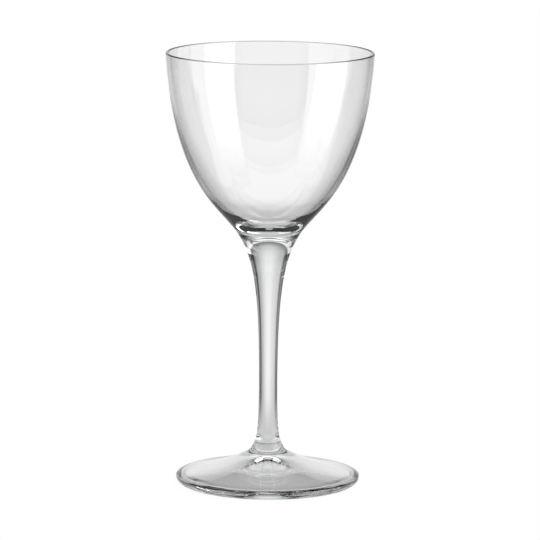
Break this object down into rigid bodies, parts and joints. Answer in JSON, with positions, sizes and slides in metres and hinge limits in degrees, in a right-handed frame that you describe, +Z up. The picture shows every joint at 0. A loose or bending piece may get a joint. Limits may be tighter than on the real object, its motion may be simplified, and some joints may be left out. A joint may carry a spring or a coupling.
{
  "type": "nick and nora glass",
  "caption": "Stemmed cocktail glass: a deep, tulip-shaped clear glass bowl welded to a slim solid stem on a flat round foot.",
  "frame": {"origin": "centre of the flat ring that the foot rests on, at table height", "axes": "+Z up along the axis of the glass, from the foot to the rim; +X and +Y lie in the table plane, and -Y faces the camera of the picture"},
  "size_m": [0.075, 0.075, 0.157],
  "materials": {
    "bowl_glass": "clear, fire-polished soda-lime glass",
    "stem_glass": "clear, fire-polished soda-lime glass",
    "foot_glass": "clear, pressed soda-lime glass"
  },
  "bodies": {
    "root": {"bowl": "bowl_glass", "stem": "stem_glass", "foot": "foot_glass"}
  },
  "joints": []
}
